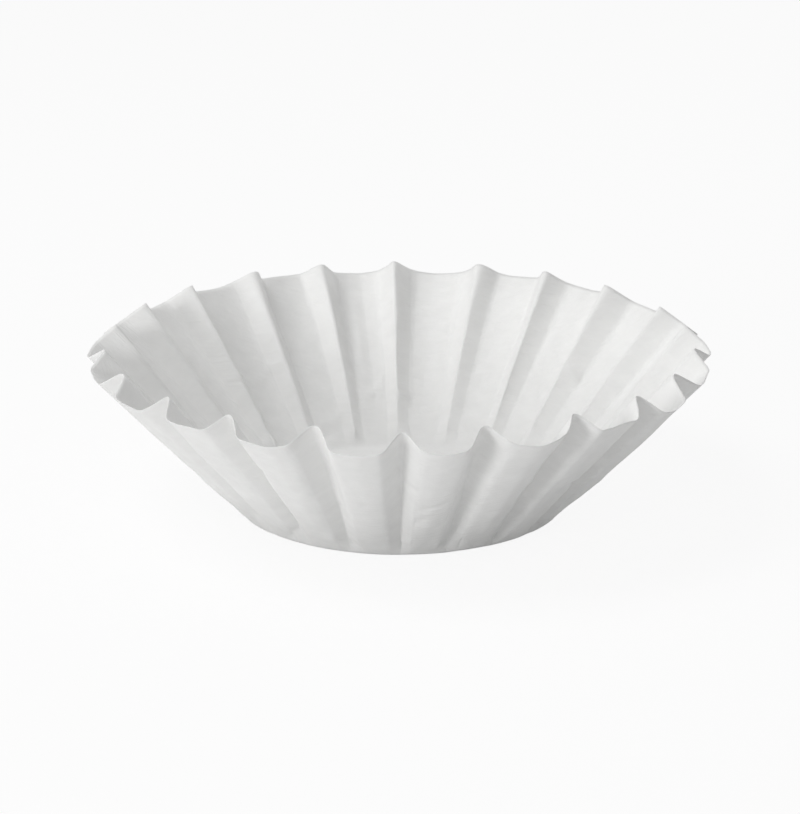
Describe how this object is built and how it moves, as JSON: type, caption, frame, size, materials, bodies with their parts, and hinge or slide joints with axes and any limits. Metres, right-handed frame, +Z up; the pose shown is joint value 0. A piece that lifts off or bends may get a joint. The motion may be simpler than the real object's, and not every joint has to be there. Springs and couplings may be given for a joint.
{
  "type": "paper basket coffee filter",
  "caption": "Round basket coffee filter pressed from one sheet of thin white paper: a flat bottom and a flared wall of upright pleats with an open, scalloped rim.",
  "frame": {"origin": "middle of the underside of the flat bottom, where the filter stands", "axes": "+Z up through the open mouth, +X to the right, +Y away from the picture's viewer"},
  "size_m": [0.2028, 0.204, 0.0567],
  "materials": {
    "filter_paper": "matte"
  },
  "bodies": {
    "root": {"filter_paper": "filter_paper"}
  },
  "joints": []
}
